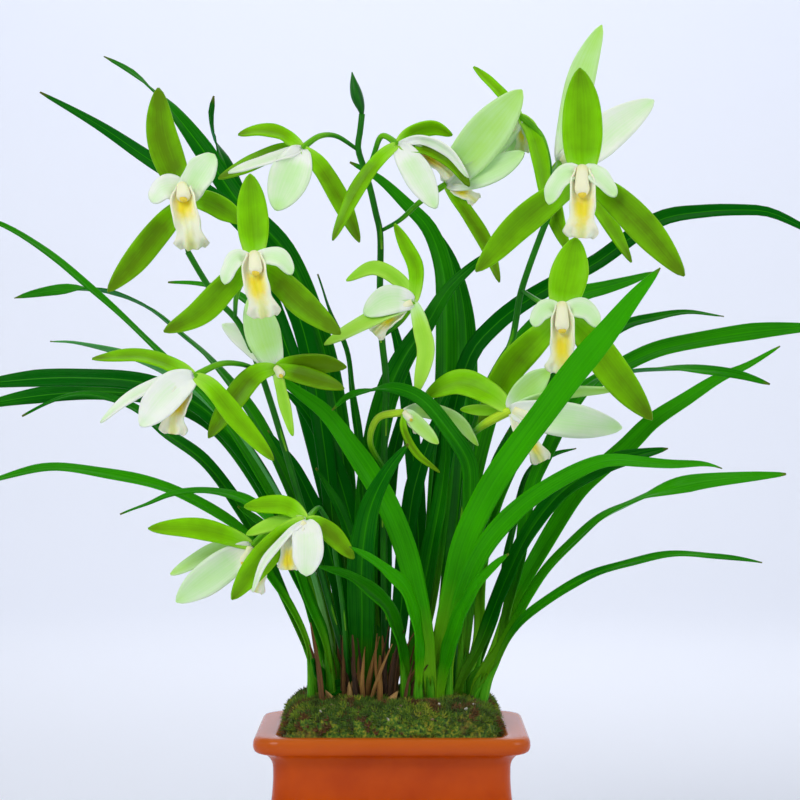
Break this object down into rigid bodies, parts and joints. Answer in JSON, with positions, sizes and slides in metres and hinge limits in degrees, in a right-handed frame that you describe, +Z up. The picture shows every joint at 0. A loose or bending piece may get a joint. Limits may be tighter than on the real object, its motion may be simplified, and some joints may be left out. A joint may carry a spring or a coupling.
{
  "type": "potted orchid plant",
  "caption": "Clump of arching strap leaves with green and white star-shaped flowers, growing from a moss mound in a rectangular glazed pot.",
  "frame": {"origin": "centre of the pot's flat underside", "axes": "+Z up, -Y towards the front of the plant, X along the pot's long side"},
  "size_m": [0.4631, 0.2402, 0.4537],
  "materials": {
    "glaze": "glossy orange-brown glaze",
    "potting_mix": "damp bark and soil mix",
    "moss": "living moss",
    "leaf_dark": "waxy dark green leaf",
    "leaf_bright": "waxy bright green leaf",
    "dry_sheath": "dry papery scale leaf",
    "flower_stem": "smooth green stem",
    "flower": "satin sepals with white petals",
    "bud": "smooth green bud"
  },
  "bodies": {
    "root": {"bud_top": "bud", "flower_left_back": "flower", "flower_left_mid": "flower", "flower_left_side": "flower", "flower_left_top": "flower", "flower_low_inner": "flower", "flower_low_outer": "flower", "flower_mid_arm": "flower", "flower_mid_left": "flower", "flower_mid_low": "flower", "flower_mid_right": "flower", "flower_mid_side": "flower", "flower_right_arm": "flower", "flower_right_back": "flower", "flower_right_low": "flower", "flower_right_mid": "flower", "flower_right_top": "flower", "leaf_left_01": "leaf_dark", "leaf_left_02": "leaf_dark", "leaf_left_03": "leaf_dark", "leaf_left_04": "leaf_bright", "leaf_left_05": "leaf_dark", "leaf_left_06": "leaf_bright", "leaf_left_07": "leaf_dark", "leaf_left_08": "leaf_dark", "leaf_left_09": "leaf_dark", "leaf_left_10": "leaf_bright", "leaf_left_11": "leaf_bright", "leaf_middle_01": "leaf_bright", "leaf_middle_02": "leaf_dark", "leaf_middle_03": "leaf_dark", "leaf_middle_04": "leaf_bright", "leaf_middle_05": "leaf_bright", "leaf_middle_06": "leaf_dark", "leaf_middle_07": "leaf_dark", "leaf_middle_08": "leaf_bright", "leaf_middle_09": "leaf_dark", "leaf_middle_10": "leaf_dark", "leaf_middle_11": "leaf_bright", "leaf_right_01": "leaf_dark", "leaf_right_02": "leaf_bright", "leaf_right_03": "leaf_bright", "leaf_right_04": "leaf_dark", "leaf_right_05": "leaf_bright", "leaf_right_06": "leaf_dark", "leaf_right_07": "leaf_bright", "leaf_right_08": "leaf_dark", "leaf_right_09": "leaf_bright", "leaf_right_10": "leaf_dark", "leaf_right_11": "leaf_dark", "moss_mound": "moss", "pot": "glaze", "potting_mix": "potting_mix", "scape_left": "flower_stem", "scape_low": "flower_stem", "scape_middle": "flower_stem", "scape_right": "flower_stem", "sheath_1": "dry_sheath", "sheath_2": "dry_sheath"}
  },
  "joints": []
}
